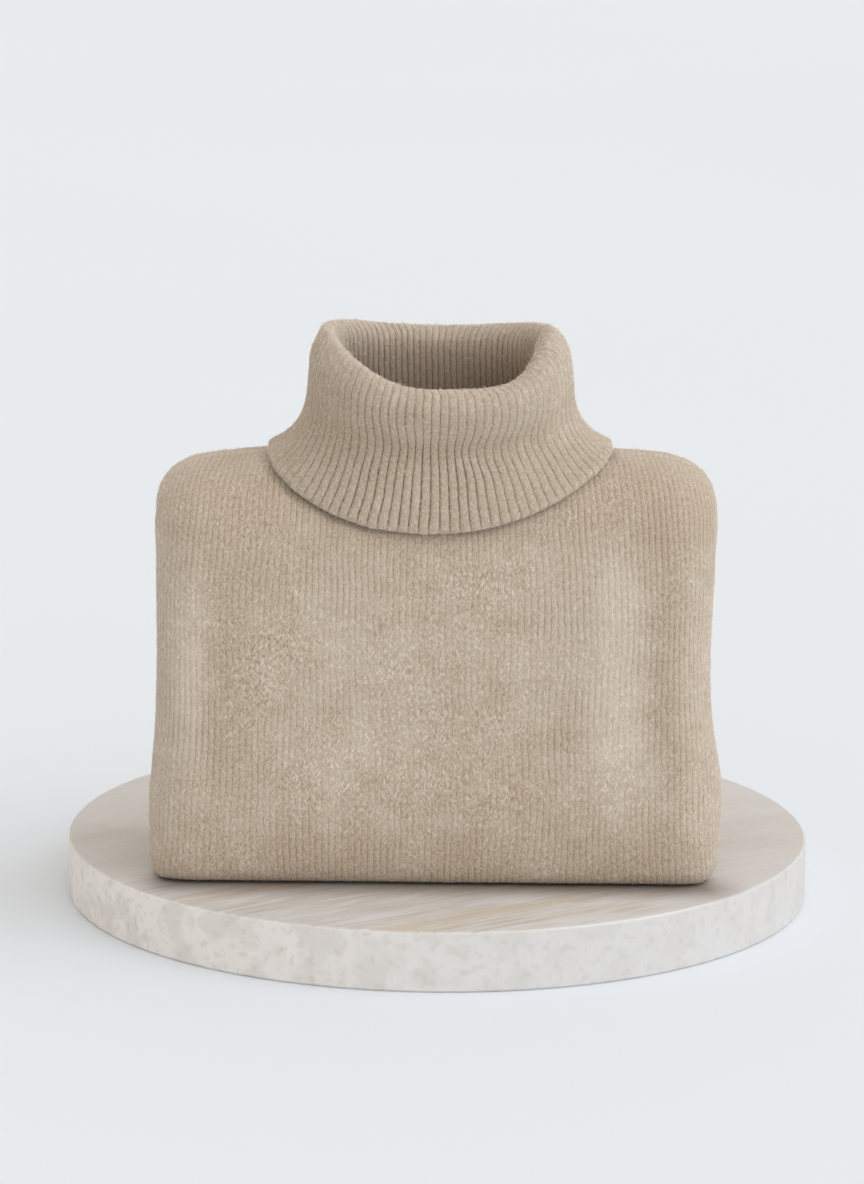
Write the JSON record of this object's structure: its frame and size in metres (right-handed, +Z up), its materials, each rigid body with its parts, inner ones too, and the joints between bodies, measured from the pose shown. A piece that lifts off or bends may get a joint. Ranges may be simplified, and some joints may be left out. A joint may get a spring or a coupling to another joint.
{
  "type": "folded roll-neck sweater on a round stone plinth",
  "caption": "Knitted roll-neck sweater folded to a soft upright bundle, its ribbed collar standing open and turned over at the top, resting on a round flat stone disc.",
  "frame": {"origin": "centre of the plinth's underside", "axes": "+Z up, front face of the sweater towards -Y, wearer's left hand side towards +X"},
  "size_m": [0.4, 0.4, 0.3215],
  "materials": {
    "knit": "soft brushed wool jersey, matt",
    "rib_knit": "ribbed wool knit, matt",
    "stone": "honed pale marble"
  },
  "bodies": {
    "root": {"stone_plinth": "stone", "front_panel": "knit", "back_panel": "knit", "hem_rib": "rib_knit", "folded_layers": "knit", "sleeve_left": "knit", "sleeve_right": "knit", "roll_collar": "rib_knit"}
  },
  "joints": []
}
